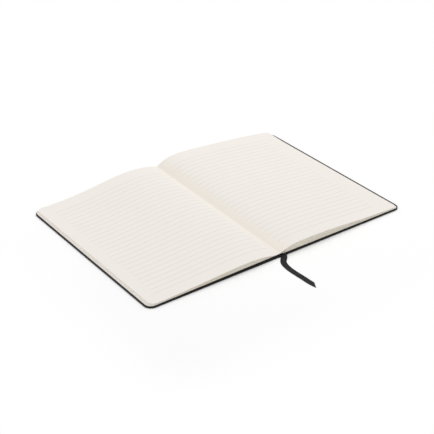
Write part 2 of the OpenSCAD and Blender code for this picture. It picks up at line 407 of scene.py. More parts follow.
def leaf_edge_group():
    """Fine lines along the cut edges of piled leaves: a mask that is 1 in the lines of painted shade between
    the leaves, and a height.
    """
    group, entry, leave = start_group("Leaf Edge Lines", {"Spacing": 0.1 * MM}, ["Mask", "Height"])
    finely = add_node(group, "ShaderNodeCombineXYZ", {
        0: 25.0, 1: 25.0, 2: calc(group, "DIVIDE", 1.0, entry["Spacing"])}).outputs[0]
    lines = noise(group, vector_calc(group, "MULTIPLY", entry["Vector"], finely), 1.0, roughness=0.6)
    cut = noise(group, entry["Vector"], 900.0, detail=3.0)
    return put_out(group, leave, Mask=ramp(group, plus(group, lines, times(group, cut, 0.2)), 0.75, 0.4),
                   Height=lines)


def pebble_grain_group():
    """The pebbled grain of leatherette: a mask that is 1 in its creases, where shade is painted, and a
    height.
    """
    group, entry, leave = start_group("Pebble Grain", {"Pebble": 0.8 * MM}, ["Creases", "Height"])
    warp = noise(group, entry["Vector"], 700.0, output="Color")
    shift = vector_calc(group, "MULTIPLY", warp, (0.5 * MM, 0.5 * MM, 0.5 * MM))
    shifted = vector_calc(group, "ADD", entry["Vector"], shift)
    scale = calc(group, "DIVIDE", 1.0, entry["Pebble"])
    cells = add_node(group, "ShaderNodeTexVoronoi", {"Vector": shifted, "Scale": scale},
                     feature="DISTANCE_TO_EDGE").outputs["Distance"]
    dome = ramp(group, cells, 0.0, 0.35)
    return put_out(group, leave, Creases=ramp(group, cells, 0.14, 0.0),
                   Height=weighed(group, dome, noise(group, entry["Vector"], 6000.0), share=0.15))


def edge_rub_group():
    """Outer edges of a cover: a mask that is 1 on the rubbed patches along the cover's outline."""
    group, entry, leave = start_group(
        "Edge Rub", {"Reach": 150 * MM, "Half Height": 100 * MM, "Width": MM}, ["Mask"])
    place = axes(group, entry["Vector"])
    off_fore = minus(group, entry["Reach"], calc(group, "ABSOLUTE", place["X"]))
    off_end = minus(group, entry["Half Height"], calc(group, "ABSOLUTE", place["Y"]))
    near = ramp(group, calc(group, "MINIMUM", off_fore, off_end), entry["Width"], 0.0)
    patchy = ramp(group, noise(group, entry["Vector"], 160.0, detail=4.0, roughness=0.6), 0.45, 0.75)
    return put_out(group, leave, Mask=times(group, near, patchy))


def woven_rib_group():
    """A fine ribbed weave along and across a strip: a mask that is 1 between threads, where shade is
    painted, and a height.
    """
    group, entry, leave = start_group(
        "Woven Ribs", {"Rib": 0.4 * MM, "Thread": 0.2 * MM}, ["Mask", "Height"])
    place = axes(group, entry["Vector"])
    ribs, threads = (
        calc(group, "SINE", times(group, calc(group, "DIVIDE", place[axis], entry[spacing]), 2 * math.pi))
        for axis, spacing in (("Y", "Rib"), ("X", "Thread")))
    loose = noise(group, entry["Vector"], 1500.0)
    weave = plus(group, times(group, ribs, 0.5), times(group, threads, 0.25))
    height = plus(group, plus(group, weave, 0.5), times(group, loose, 0.3))
    return put_out(group, leave, Mask=ramp(group, height, 0.5, 0.1), Height=height)


GROUP_MAKERS = {
    "Paper Fibre": paper_fibre_group,
    "Page Ruling": page_ruling_group,
    "Leaf Edge Lines": leaf_edge_group,
    "Pebble Grain": pebble_grain_group,
    "Edge Rub": edge_rub_group,
    "Woven Ribs": woven_rib_group,
}


def effect(tree, name, **values):
    """Places a shared effect in a material, building its group the first time."""
    group = bpy.data.node_groups.get(name) or GROUP_MAKERS[name]()
    inputs = {key.replace("_", " "): value for key, value in values.items()}
    return add_node(tree, "ShaderNodeGroup", inputs, node_tree=group).outputs


def start_material(name, roughness, specular=0.2, **shader_values):
    """A material with a Principled BSDF: its node tree, its shader and the object's own coordinates."""
    material = bpy.data.materials.new(name)
    material.use_nodes = True
    tree = material.node_tree
    shader = tree.nodes["Principled BSDF"]
    shader.inputs["Roughness"].default_value = roughness
    shader.inputs["Specular IOR Level"].default_value = specular
    for key, value in shader_values.items():
        shader.inputs[key.replace("_", " ")].default_value = value
    place = tree.nodes.new("ShaderNodeTexCoord").outputs["Object"]
    return material, tree, shader, place


def feed(tree, shader, **sources):
    """Feeds a shader's inputs with other nodes' outputs."""
    for name, source in sources.items():
        tree.links.new(source, shader.inputs[name.replace("_", " ")])


def add_bump(tree, shader, height, strength, depth):
    """Bump on a shader, from a height."""
    bump = add_node(tree, "ShaderNodeBump", {"Strength": strength, "Distance": depth, "Height": height})
    feed(tree, shader, Normal=bump.outputs["Normal"])


# Materials

def tint_across(tree, place, tint, outer_tint, near, far):
    """A colour that turns into another between two distances from the spine."""
    off_spine = calc(tree, "ABSOLUTE", axes(tree, place)["X"])
    return mix_colour(tree, ramp(tree, off_spine, near, far), opaque(tint), opaque(outer_tint))


def page_material(name, side):
    """Smooth cream paper with the ruling of one page."""
    leaves = bpy.context.scene.notebook_leaves
    ruling = bpy.context.scene.notebook_ruling
    material, tree, shader, place = start_material(name, roughness=0.82, specular=0.25)
    # The paper turns warmer within 13 mm of the spine: painted warm bounce light in the gutter
    tint = tint_across(tree, place, leaves.gutter_bounce_tint, leaves.paper, near=0.0, far=13 * MM)
    sheet = effect(tree, "Paper Fibre", Vector=place, Colour=tint, Fleck=0.05)
    low, high = ruling.right_start, ruling.right_end
    if side == LEFT:
        low, high = -ruling.left_start, -ruling.left_end
    lines = effect(
        tree, "Page Ruling", Vector=place, First=ruling.first, Pitch=ruling.pitch, Line=ruling.line,
        Count=float(ruling.count), Low_X=low, High_X=high)
    feed(tree, shader, Base_Color=mix_colour(tree, lines["Mask"], sheet["Colour"], opaque(leaves.ruling)))
    add_bump(tree, shader, sheet["Height"], strength=0.35, depth=0.03 * MM)
    return material


def leaf_edge_material(name):
    """Cut edges of the leaves, with fine lines of painted shade between them."""
    leaves = bpy.context.scene.notebook_leaves
    material, tree, shader, place = start_material(name, roughness=0.88)
    # Lighter towards the fore edge: painted light on the edges that face away from the lamp
    tint = tint_across(tree, place, leaves.edge, leaves.fore_edge_painted_light, near=95 * MM, far=145 * MM)
    sheet = effect(tree, "Paper Fibre", Vector=place, Colour=tint, Fleck=0.08)
    lines = effect(tree, "Leaf Edge Lines", Vector=place, Spacing=0.16 * MM)
    # A darker copy of the edge colour in the lines: painted shade in the gaps between leaves
    shade = vector_calc(tree, "MULTIPLY", sheet["Colour"], (0.88, 0.86, 0.82))
    feed(tree, shader, Base_Color=mix_colour(tree, lines["Mask"], sheet["Colour"], shade))
    add_bump(tree, shader, lines["Height"], strength=0.5, depth=0.05 * MM)
    return material


def leatherette_material(name):
    """Black pebbled leatherette, a little rubbed along its outer edges."""
    cover = bpy.context.scene.notebook_cover
    material, tree, shader, place = start_material(name, roughness=0.5)
    grain = effect(tree, "Pebble Grain", Vector=place, Pebble=0.75 * MM)
    rub = effect(tree, "Edge Rub", Vector=place, Reach=COVER_REACH, Half_Height=COVER_HALF_H, Width=1.2 * MM)
    # The grain's creases take a darker copy of the tint: painted shade in the hollows
    grain_with_crease_shade = mix_colour(tree, grain["Creases"], opaque(cover.tint), opaque(cover.tint, shade=0.45))
    smooth = ramp(tree, noise(tree, place, 45.0, detail=3.0), 0.3, 0.7, start=0.48, end=0.53)
    feed(tree, shader, Base_Color=mix_colour(tree, rub["Mask"], grain_with_crease_shade, opaque(cover.worn)),
         Roughness=plus(tree, smooth, times(tree, grain["Creases"], 0.18)))
    add_bump(tree, shader, grain["Height"], strength=0.6, depth=0.08 * MM)
    return material


def ribbon_material():
    """Charcoal ribbon with fine cross ribs, woven edges and a satin sheen."""
    ribbon = bpy.context.scene.notebook_ribbon
    material, tree, shader, _ = start_material(
        "ribbon_weave", roughness=0.5, specular=0.1, Sheen_Weight=0.03, Sheen_Roughness=0.4)
    strip = tree.nodes.new("ShaderNodeTexCoord").outputs["UV"]
    weave = effect(tree, "Woven Ribs", Vector=strip, Rib=0.42 * MM, Thread=0.25 * MM)
    off_middle = calc(tree, "ABSOLUTE", minus(tree, axes(tree, strip)["X"], ribbon.width / 2))
    selvage = times(tree, ramp(tree, off_middle, ribbon.width * 0.42, ribbon.width * 0.46), 0.6)
    # A darker copy of the tint between the threads: painted shade in the weave's hollows
    body = mix_colour(tree, weave["Mask"], opaque(ribbon.tint), opaque(ribbon.tint, shade=0.45))
    feed(tree, shader, Base_Color=mix_colour(tree, selvage, body, opaque(ribbon.tint, shade=1.5)),
         Roughness=ramp(tree, noise(tree, strip, 300.0), 0.3, 0.7, start=0.42, end=0.58))
    add_bump(tree, shader, weave["Height"], strength=0.7, depth=0.05 * MM)
    return material


def pulp_material(name, tint, fleck, roughness):
    """Board or plain paper: fibres and flecks over one tint."""
    material, tree, shader, place = start_material(name, roughness)
    sheet = effect(tree, "Paper Fibre", Vector=place, Colour=opaque(tint), Fleck=fleck)
    feed(tree, shader, Base_Color=sheet["Colour"])
    add_bump(tree, shader, sheet["Height"], strength=0.5, depth=0.04 * MM)
    return material


def gauze_material():
    """The glued open weave on the back of the leaves."""
    cover = bpy.context.scene.notebook_cover
    material, tree, shader, place = start_material("spine_gauze", roughness=0.85)
    weave = effect(tree, "Woven Ribs", Vector=place, Rib=0.9 * MM, Thread=0.9 * MM)
    # Darker between the threads: painted shade in the gaps of the weave
    tint = mix_colour(tree, weave["Mask"], opaque(cover.gauze), opaque(cover.gauze_gap_shade))
    feed(tree, shader, Base_Color=tint)
    add_bump(tree, shader, weave["Height"], strength=0.8, depth=0.08 * MM)
    return material


def shared_material(name, maker, **details):
    """A material that several pieces wear, made once."""
    return bpy.data.materials.get(name) or maker(name, **details)


# Meshes

class MeshBuilder:
    """Gathers points and faces, and makes one object of them."""

    def __init__(self):
        self.points = []
        self.faces = []
        self.slots = []
        self.count = 0

    def add(self, points, faces, slots=None):
        """Adds a shape, with a material slot for each face. Without slots all its faces take the first."""
        points = np.asarray(points, float).reshape(-1, 3)
        self.points.append(points)
        self.faces.extend([tuple(int(i) + self.count for i in face) for face in faces])
        self.slots.extend(slots or [0] * len(faces))
        self.count += len(points)

    def build(self, name, materials, smooth_angle=35.0, weld=0.0):
        """Makes the object, with as many of the materials as its faces use."""
        mesh = bpy.data.meshes.new(name)
        mesh.from_pydata(np.concatenate(self.points).tolist(), [], self.faces)
        for material in materials[:max(self.slots) + 1]:
            mesh.materials.append(material)
        mesh.polygons.foreach_set("material_index", self.slots)
        if weld:
            work = bmesh.new()
            work.from_mesh(mesh)
            bmesh.ops.remove_doubles(work, verts=work.verts, dist=weld)
            bmesh.ops.dissolve_degenerate(work, edges=work.edges, dist=weld)
            bmesh.ops.recalc_face_normals(work, faces=work.faces)
            work.to_mesh(mesh)
            work.free()
        mesh.polygons.foreach_set("use_smooth", [True] * len(mesh.polygons))
        mesh.set_sharp_from_angle(angle=math.radians(smooth_angle))
        mesh.update()
        return link_object(name, mesh)


def link_object(name, data):
    """A new object in the scene."""
    made = bpy.data.objects.new(name, data)
    bpy.context.scene.collection.objects.link(made)
    return made


def slab_quads(columns, rows):
    """Faces of a closed slab: those of its top, those of its bottom and those round its rim. Its top grid of
    points comes first and its bottom grid after it."""
    over = np.arange(columns * rows).reshape(columns, rows)
    under = over + columns * rows

    def quads(*corners):
        return np.stack(corners, -1).reshape(-1, 4)

    top = quads(over[:-1, :-1], over[1:, :-1], over[1:, 1:], over[:-1, 1:])
    bottom = quads(under[:-1, :-1], under[:-1, 1:], under[1:, 1:], under[1:, :-1])
    rim = np.concatenate([
        quads(over[:-1, 0], under[:-1, 0], under[1:, 0], over[1:, 0]),
        quads(over[1:, -1], under[1:, -1], under[:-1, -1], over[:-1, -1]),
        quads(over[0, 1:], under[0, 1:], under[0, :-1], over[0, :-1]),
        quads(over[-1, :-1], under[-1, :-1], under[-1, 1:], over[-1, 1:]),
    ])
    return top, bottom, rim


def add_leaf(builder, side, x, y, top, bottom, top_slot=PLAIN):
    """Adds one leaf as a closed slab. x is measured outwards from the middle of the spine."""
    parts = slab_quads(*x.shape)
    faces = np.concatenate(parts)
    if side == LEFT:
        faces = faces[:, ::-1]
    points = np.concatenate([np.stack([side * x, y, z], -1).reshape(-1, 3) for z in (top, bottom)])
    slots = []
    for part, slot in zip(parts, (top_slot, PLAIN, CUT_EDGE)):
        slots += [slot] * len(part)
    builder.add(points, faces, slots)


def ring_faces(rings, count, closed=True):
    """Faces between each ring of points and the next. Closed rings join their last point to their first."""
    faces = []
    for ring in range(rings - 1):
        for spot in range(count if closed else count - 1):
            a, b = ring * count + spot, ring * count + (spot + 1) % count
            faces.append((a, b, b + count, a + count))
    return faces


def tube_faces(rings, count):
    """Faces of a closed tube: its wall and its two ends."""
    last = (rings - 1) * count
    return ring_faces(rings, count) + [tuple(reversed(range(count))), tuple(range(last, last + count))]


# The form of the leaves

def of_side(pair, side):
    """The left or the right one of two values."""
    return pair[side == RIGHT]


def to_head(y):
    """0 at the tail of the leaves and 1 at their head."""
    return y / (2 * PAGE_HALF_H) + 0.5


def to_fore(side, x):
    """0 at the middle of the spine and 1 at the fore edge."""
    return np.clip(x / PAGE_REACH[side], 0, 1)


def ripple(x, y, side):
    """Gentle unevenness of the arch, between about -1 and 1. Each wave has how closely it comes across and
    along the leaves, and where it starts."""
    waves = [(21.0, 9.0, 0.4), (37.0, -16.0, 1.9), (62.0, 27.0, 3.1), (11.0, 33.0, 5.2)]
    side_turn = 1.3 * side
    total = 0.0
    for n, (across, along, turn) in enumerate(waves):
        total = total + np.sin(across * x + along * y + turn + side_turn) / (1 + n)
    return total / 2


def arch_rise(side, x, y):
    """Rise of the open page over the flat stack. x is measured outwards from the middle of the spine."""
    leaves = bpy.context.scene.notebook_leaves
    head = to_head(y)
    tail_rise, head_rise = leaves.left_rise if side == LEFT else leaves.right_rise
    crest = tail_rise + (head_rise - tail_rise) * head
    flat = leaves.tail_flat * (1 - head) ** TAIL_FLAT_POWER if side == LEFT else 0.0
    off_gutter = np.maximum(x + side * leaves.gutter_shift - flat, 0)
    reach = np.hypot(off_gutter, leaves.valley) - leaves.valley
    drop = np.clip(1 - reach / leaves.crest_reach, 0, 1) ** of_side(leaves.drop_curves, side)
    fore = PAGE_REACH[side] - of_side(leaves.fore_slants, side) + side * leaves.gutter_shift
    past = np.clip((reach - leaves.crest_reach) / (fore - leaves.crest_reach), 0, 1)
    late_fall = 1 - past ** of_side(leaves.fall_curves, side)
    sink = (1 + np.cos(math.pi * past)) / 2
    if side == LEFT:
        sink = sink * late_fall
        low = 0.0
    else:
        sink = sink + (late_fall - sink) * head
        low = leaves.fore_rise * head + leaves.corner_rise * head ** CORNER_RISE_POWER
    rise = np.where(reach > leaves.crest_reach, low + (crest - low) * sink,
                    crest * (1 - drop) + leaves.gutter_rise * head * drop)
    return rise * (1 + leaves.ripple * ripple(x, y, side))


def leaf_grid(side, inner, reach, columns, rows, slant=1.0, back=0.0, trim=0.0):
    """Places of one leaf's points, from inner to reach. Columns gather near the gutter and at the corners.
    Only a leaf that reaches the fore edge has corners, and it sits back there by its share of the slant."""
    leaves = bpy.context.scene.notebook_leaves
    corner = 0.0
    if reach > PAGE_INNER:
        corner = of_side(leaves.corners, side)
        reach = reach - of_side(leaves.fore_slants, side) * slant - back
    x = inner + (reach - corner - inner) * np.linspace(0, 1, columns) ** COLUMN_POWER
    if corner:
        turn = np.linspace(0, math.pi / 2, CORNER_COLUMNS + 1)[1:]
        x = np.concatenate([x, reach - corner + corner * np.sin(turn)])
    past = np.clip(x - (reach - corner), 0, corner)
    height = PAGE_HALF_H - trim - corner + np.sqrt(np.maximum(corner ** 2 - past ** 2, 0))
    y = height[:, None] * np.linspace(-1, 1, rows)[None, :]
    return np.repeat(x[:, None], rows, axis=1), y


def fan_shares(side):
    """Share of the arch's rise that each fanned leaf takes, at the tail and at the head.
    Some leaves cling together and others stand apart."""
    leaves = bpy.context.scene.notebook_leaves
    draw = np.random.default_rng(FAN_SEED + side)
    rooms, odds = [0.35, 0.6, 1.0, 1.9], [0.25, 0.3, 0.3, 0.15]
    common = draw.choice(rooms, size=leaves.fan_leaves + 1, p=odds)
    ends = []
    for _ in range(2):
        total = np.cumsum(common * draw.uniform(0.75, 1.3, size=common.size))
        ends.append(total[:-1] / total[-1])
    return ends


def fan_heights(side, x, y):
    """Heights over the foot of the leaves: the fanned leaves' tops from the lowest up, then the page's."""
    leaves = bpy.context.scene.notebook_leaves
    rise = arch_rise(side, x, y)
    head = to_head(y)
    heights = []
    for n, (at_tail, at_head) in enumerate(zip(*fan_shares(side))):
        share = at_tail + (at_head - at_tail) * head
        heights.append(leaves.flat_stack + (n + 1) * LEAF_CLING + share * rise)
    heights.append(leaves.flat_stack + len(heights) * LEAF_CLING + leaves.leaf + PAGE_CLEARANCE + rise)
    return heights


def edge_jitter(side, n, spread):
    """A small set-back of one leaf's edges, the same each time."""
    draw = np.random.default_rng(EDGE_SEED + 100 * side + n)
    return draw.uniform(0, spread, size=2)


def spread_corner(side, x, y):
    """Moves the right leaves' head corner outwards, less and less away from the corner."""
    if side == LEFT:
        return x
    spread = bpy.context.scene.notebook_leaves.corner_spread
    return x + spread * np.clip(to_head(y), 0, 1) ** HEAD_SPREAD_POWER * to_fore(side, x) ** FORE_EDGE_POWER


def leaf_gap(side, x):
    """Share of the room between two leaves that is open. The leaves close up towards the fore edge."""
    fan_gap = bpy.context.scene.notebook_leaves.fan_gap
    return fan_gap * (1 - FORE_CLOSING * to_fore(side, x) ** FORE_EDGE_POWER)


def add_flat_stack(builder, side, inner, reach, columns):
    """Adds the lower layers of leaves. They lie flat on the cover at the fore edge, and the lowest stand off
    it at the gutter."""
    leaves = bpy.context.scene.notebook_leaves
    last = leaves.flat_layers - 1
    for n in range(leaves.flat_layers):
        back, trim = edge_jitter(side, n, STACK_JITTER)
        slant = (n + 0.5) / leaves.flat_layers
        x, y = leaf_grid(side, inner, reach, columns, STACK_ROWS, slant, back, trim)
        lift = of_side(leaves.gutter_lifts, side) * (1 - x / PAGE_REACH[side])
        layer = (leaves.flat_stack - lift) / leaves.flat_layers
        bottom = PAGE_Z + lift + n * layer
        gap = leaf_gap(side, x) if n < last else 0
        add_leaf(builder, side, x, y, bottom + layer * (1 - gap), bottom)


def add_fan(builder, side, inner, reach, columns):
    """Adds the leaves that fan out under the open page."""
    leaves = bpy.context.scene.notebook_leaves
    for n in range(leaves.fan_leaves):
        back, trim = edge_jitter(side, FIRST_FAN_DRAW + n, FAN_JITTER)
        x, y = leaf_grid(side, inner, reach, columns, FAN_ROWS, back=back, trim=trim)
        x = spread_corner(side, x, y)
        heights = fan_heights(side, x, y)
        below = heights[n - 1] if n else leaves.flat_stack
        thick = (1 - leaf_gap(side, x)) * (heights[n] - below)
        add_leaf(builder, side, x, y, PAGE_Z + heights[n], PAGE_Z + heights[n] - thick)


def add_open_page(builder, side, inner, reach, columns):
    """Adds the page that lies open on top."""
    x, y = leaf_grid(side, inner, reach, columns, PAGE_ROWS)
    x = spread_corner(side, x, y)
    top = PAGE_Z + fan_heights(side, x, y)[-1]
    add_leaf(builder, side, x, y, top, top - bpy.context.scene.notebook_leaves.leaf, top_slot=RULED)


def page_materials(side):
    """The leaves' materials, in the order PLAIN, CUT_EDGE and RULED."""
    paper = tuple(bpy.context.scene.notebook_leaves.paper)
    return [
        shared_material("plain_leaf", pulp_material, tint=paper, fleck=0.05, roughness=0.82),
        shared_material("leaf_edges", leaf_edge_material),
        shared_material(f"ruled_page_{SIDE_NAMES[side]}", page_material, side=side),
    ]


# The form of the cover

def cover_outline(inner, half_h, reach, corner):
    """Points round a cover's outline from the tail to the head, each with its outward direction."""
    edge_points, corner_points = 16, 13
    tail = [((x, -half_h), (0, -1)) for x in np.linspace(inner, reach - corner, edge_points)[:-1]]
    for turn in np.linspace(-math.pi / 2, 0, corner_points):
        out = (math.cos(turn), math.sin(turn))
        tail.append(((reach - corner + corner * out[0], corner - half_h + corner * out[1]), out))
    fore = [((reach, y), (1, 0)) for y in np.linspace(corner - half_h, half_h - corner, edge_points)[1:-1]]
    head = [((x, -y), (nx, -ny)) for (x, y), (nx, ny) in reversed(tail)]
    return tail + fore + head


def arc_points(centre_x, centre_z, radius, start, end, steps=5):
    """Points along a round fold, with angles in degrees."""
    return [(centre_x + radius * math.cos(math.radians(a)), centre_z + radius * math.sin(math.radians(a)))
            for a in np.linspace(start, end, steps + 1)]


def board_sheet_section():
    """Section of the sheet round a board's edge, as distances in from the edge and heights:
    the outer face, the rounded fold, the turned-in margin and its inner face."""
    cover = bpy.context.scene.notebook_cover
    fold, sheet, margin = cover.edge_radius, cover.sheet, cover.turn_in
    plate = margin + MM
    upper = BOARD_TOP - fold
    outer = arc_points(0, fold, fold, -90, 0) + arc_points(0, upper, fold, 0, 90)
    within = fold - sheet
    inner = arc_points(0, upper, within, 90, 0, steps=3) + arc_points(0, fold, within, 0, -90, steps=3)
    return [
        (plate, 0.0), *((fold - out, z) for out, z in outer), (margin, BOARD_TOP),
        (margin, BOARD_TOP - sheet), *((fold - out, z) for out, z in inner), (plate, sheet),
    ]


def build_board_sheet(name, side, material):
    """The covering sheet of one board, folded round its three outer edges."""
    cover = bpy.context.scene.notebook_cover
    outline = cover_outline(cover.joint_end, COVER_HALF_H, COVER_REACH, cover.corner)
    section = board_sheet_section()
    points = []
    for (x, y), (nx, ny) in outline:
        for inset, z in section:
            near = min(inset, cover.corner)
            limit = COVER_HALF_H - inset
            across = min(x - nx * near, COVER_REACH - inset)
            along = min(max(y - ny * near, -limit), limit)
            points.append((side * across, along, z))
    count, steps = len(section), len(outline)
    last = (steps - 1) * count
    outer = range(0, last + 1, count)
    inner = range(count - 1, last + count, count)
    ends = [outer, reversed(inner), range(count), reversed(range(last, last + count))]
    faces = ring_faces(steps, count, closed=False) + [tuple(end) for end in ends]
    faces.append((outer[0], inner[0], inner[-1], outer[-1]))
    builder = MeshBuilder()
    builder.add(points, faces)
    return builder.build(name, [material], smooth_angle=40, weld=1e-7)


def share_between(value, low, high):
    """0 below low, 1 above high, and even between."""
    return min(max((value - low) / (high - low), 0.0), 1.0)


def smooth_step(value, middle, reach):
    """0 before a place, 1 after it, and smooth within its reach."""
    t = share_between(value, middle - reach, middle + reach)
    return t * t * (3 - 2 * t)


def joint_heights(x):
    """Height of the sheet's outer face and of its folded ends, at a distance from the spine's middle."""
    cover = bpy.context.scene.notebook_cover
    slack, soft = 0.02 * MM, 0.35 * MM
    groove_start, groove_end = HINGE_X + 0.05 * MM, BOARD_INNER + 0.1 * MM
    outer = cover.groove * math.sin(math.pi * share_between(x, groove_start, groove_end)) ** 2
    double = outer + 2 * cover.sheet + slack
    top = SPINE_TOP + (double - SPINE_TOP) * smooth_step(x, SPINE_HALF_W, soft)
    return outer, top + (BOARD_TOP - top) * smooth_step(x, BOARD_INNER, soft)


def joint_section(x):
    """The sheet at one distance from the middle: a closed line from the tail to the head and back."""
    cover = bpy.context.scene.notebook_cover
    outer, top = joint_heights(x)
    sheet, edge = cover.sheet, COVER_HALF_H
    least_radius, least_gap = 0.02 * MM, 0.01 * MM
    fold = min(cover.edge_radius, 0.49 * (top - outer))
    within = max(fold - sheet, least_radius)
    inset = edge - sheet - within
    upper = max(top - sheet - within, outer + sheet + least_gap)
    lower = min(outer + sheet + within, upper)
    end = [
        *arc_points(edge - fold, outer + fold, fold, -90, 0),
        *arc_points(edge - fold, top - fold, fold, 0, 90),
        (edge - cover.turn_in, top), (edge - cover.turn_in, top - sheet),
        *arc_points(inset, upper, within, 90, 0, steps=2),
        *arc_points(inset, lower, within, 0, -90, steps=2),
    ]
    return [(-y, z) for y, z in reversed(end)] + end


def build_joint_sheet(name, stations, material):
    """A stretch of the sheet across the spine or a joint, through sections at the given places."""
    rings = [[(x, y, z) for y, z in joint_section(abs(x))] for x in stations]
    builder = MeshBuilder()
    builder.add(sum(rings, []), tube_faces(len(rings), len(rings[0])))
    return builder.build(name, [material], smooth_angle=40, weld=1e-8)


# The ribbon's middle line in millimetres: from its glued end at the head of the spine, along the spine,
# over the tail edge and down to its cut end on the floor
RIBBON_ROUTE = [
    (0, 100, 1.67), (0, 80, 1.67), (0, 60, 1.67), (0, 40, 1.67), (0, 20, 1.67), (0, 0, 1.67),
    (0, -20, 1.67), (0, -40, 1.67), (0, -60, 1.67), (0, -80, 1.67), (-0.2, -95, 1.67),
    (-0.3, -105.1, 1.67), (-0.45, -106.6, 1.6), (-1.1, -108.1, 1.3), (-2.9, -110, 0.8),
    (-4.8, -111.9, 0.35), (-6.6, -114, 0.2), (-7.9, -116.4, 0.2), (-8.9, -119.3, 0.2),
    (-9.6, -122.8, 0.2), (-10.1, -127.5, 0.2), (-10.2, -132.5, 0.2), (-10, -137.5, 0.2),
    (-9.7, -143, 0.2), (-9.5, -148, 0.2), (-9.4, -153, 0.2), (-9, -158, 0.2), (-8.3, -161.8, 0.2),
]


def smooth_line(points, steps):
    """A smooth line through points, with a number of steps between each two."""
    line = []
    last = len(points) - 1
    for i in range(last):
        before, a, b, after = points[max(i - 1, 0)], points[i], points[i + 1], points[min(i + 2, last)]
        for k in range(steps):
            t = k / steps
            line.append(0.5 * (2 * a + (b - before) * t + (2 * before - 5 * a + 4 * b - after) * t * t
                               + (3 * a - before - 3 * b + after) * t ** 3))
    line.append(points[-1])
    return line


def ribbon_section(width, thickness):
    """The ribbon's section: flat, with round and slightly thicker woven edges."""
    half_w, half_t = width / 2, thickness / 2
    edge, thin = 0.45 * MM, 0.72
    across = [-half_w + half_t, -half_w + edge, -half_w + 2 * edge, -half_w / 2, 0,
              half_w / 2, half_w - 2 * edge, half_w - edge, half_w - half_t]
    upper = [(u, half_t * (1.0 if abs(u) > half_w - 1.5 * edge else thin)) for u in across]
    right = [(half_w - half_t + half_t * math.cos(a), half_t * math.sin(a))
             for a in (math.radians(50), 0, math.radians(-50))]
    lower = [(u, -z) for u, z in reversed(upper)]
    left = [(-u, z) for u, z in reversed(right)]
    return upper + right + lower + left


def build_ribbon(material):
    """The ribbon marker as a woven band along its line, cut at a slant."""
    ribbon = bpy.context.scene.notebook_ribbon
    line = smooth_line([Vector(p) * MM for p in RIBBON_ROUTE], steps=5)
    section = ribbon_section(ribbon.width, ribbon.thickness)
    last = len(line) - 1
    travelled = [0.0]
    for before, place in zip(line, line[1:]):
        travelled.append(travelled[-1] + (place - before).length)
    run = travelled[-1]
    points = []
    for i, place in enumerate(line):
        ahead = (line[min(i + 1, last)] - line[max(i - 1, 0)]).normalized()
        aside = ahead.cross(Vector((0, 0, 1))).normalized()
        above = aside.cross(ahead)
        near_end = max(1 - (run - travelled[i]) / (1.5 * ribbon.cut), 0.0) if ribbon.cut else 0.0
        for u, z in section:
            slant = near_end * ribbon.cut * u / ribbon.width
            points.append(place + aside * u + above * z + ahead * slant)
    builder = MeshBuilder()
    builder.add(points, tube_faces(len(line), len(section)))
    made = builder.build("ribbon_band", [material], smooth_angle=50)
    strip = made.data.uv_layers.new(name="strip")
    for loop in made.data.loops:
        ring, spot = divmod(loop.vertex_index, len(section))
        strip.data[loop.index].uv = (section[spot][0] + ribbon.width / 2, travelled[ring])
    return made, line, run


# The studio

def seen_directly(tree):
    """1 where a surface is looked at, or is seen in a reflection or through glass."""
    path = tree.nodes.new("ShaderNodeLightPath").outputs
    return calc(tree, "MAXIMUM", path["Is Camera Ray"],
                calc(tree, "MAXIMUM", path["Is Glossy Ray"], path["Is Transmission Ray"]))


def mix_shaders(tree, share, first, second):
    """Two shader nodes mixed by a share."""
    mixed = add_node(tree, "ShaderNodeMixShader", {0: share, 1: first.outputs[0], 2: second.outputs[0]})
    return mixed.outputs[0]


def make_floor(half):
    """A plain pale floor, which fades to white away from the notebook."""
    mesh = bpy.data.meshes.new("studio_floor")
    corners = [(-half, -half, 0), (half, -half, 0), (half, half, 0), (-half, half, 0)]
    mesh.from_pydata(corners, [], [(0, 1, 2, 3)])
    material, tree, shader, place = start_material("studio_floor", roughness=0.9, specular=0.0)
    tone = ramp(tree, noise(tree, place, 3.0), 0.3, 0.7, start=0.955, end=0.97)
    grey = add_node(tree, "ShaderNodeCombineColor", {0: tone, 1: tone, 2: tone}).outputs[0]
    feed(tree, shader, Base_Color=grey)
    ribbon_room, fade = 60 * MM, 80 * MM
    off_cover = vector_calc(tree, "SUBTRACT", vector_calc(tree, "ABSOLUTE", place),
                            (COVER_REACH, COVER_HALF_H + ribbon_room, 0.0))
    outside = vector_calc(tree, "MAXIMUM", off_cover, (0.0, 0.0, 0.0))
    away = ramp(tree, vector_calc(tree, "LENGTH", outside, output="Value"), 0.0, fade)
    white = add_node(tree, "ShaderNodeEmission", {"Color": (1, 1, 1, 1), "Strength": 1.0})
    surface = mix_shaders(tree, times(tree, seen_directly(tree), away), shader, white)
    tree.links.new(surface, tree.nodes["Material Output"].inputs["Surface"])
    mesh.materials.append(material)
    return link_object("studio_floor", mesh)


def add_world_light(level):
    """An even fill light, with a white background for what looks straight at it."""
    world = bpy.data.worlds.new("studio_world")
    world.use_nodes = True
    tree = world.node_tree
    tree.nodes.clear()
    fill, white = (
        add_node(tree, "ShaderNodeBackground", {"Color": (1, 1, 1, 1), "Strength": strength})
        for strength in (level, 1.0))
    leave = tree.nodes.new("ShaderNodeOutputWorld")
    tree.links.new(mix_shaders(tree, seen_directly(tree), fill, white), leave.inputs["Surface"])
    bpy.context.scene.world = world


# Operators: one for each piece or group of like pieces

def settle(piece, body, node):
    """Lets a piece ride on a body, in place of a node."""
    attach(piece, body)
    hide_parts(node)


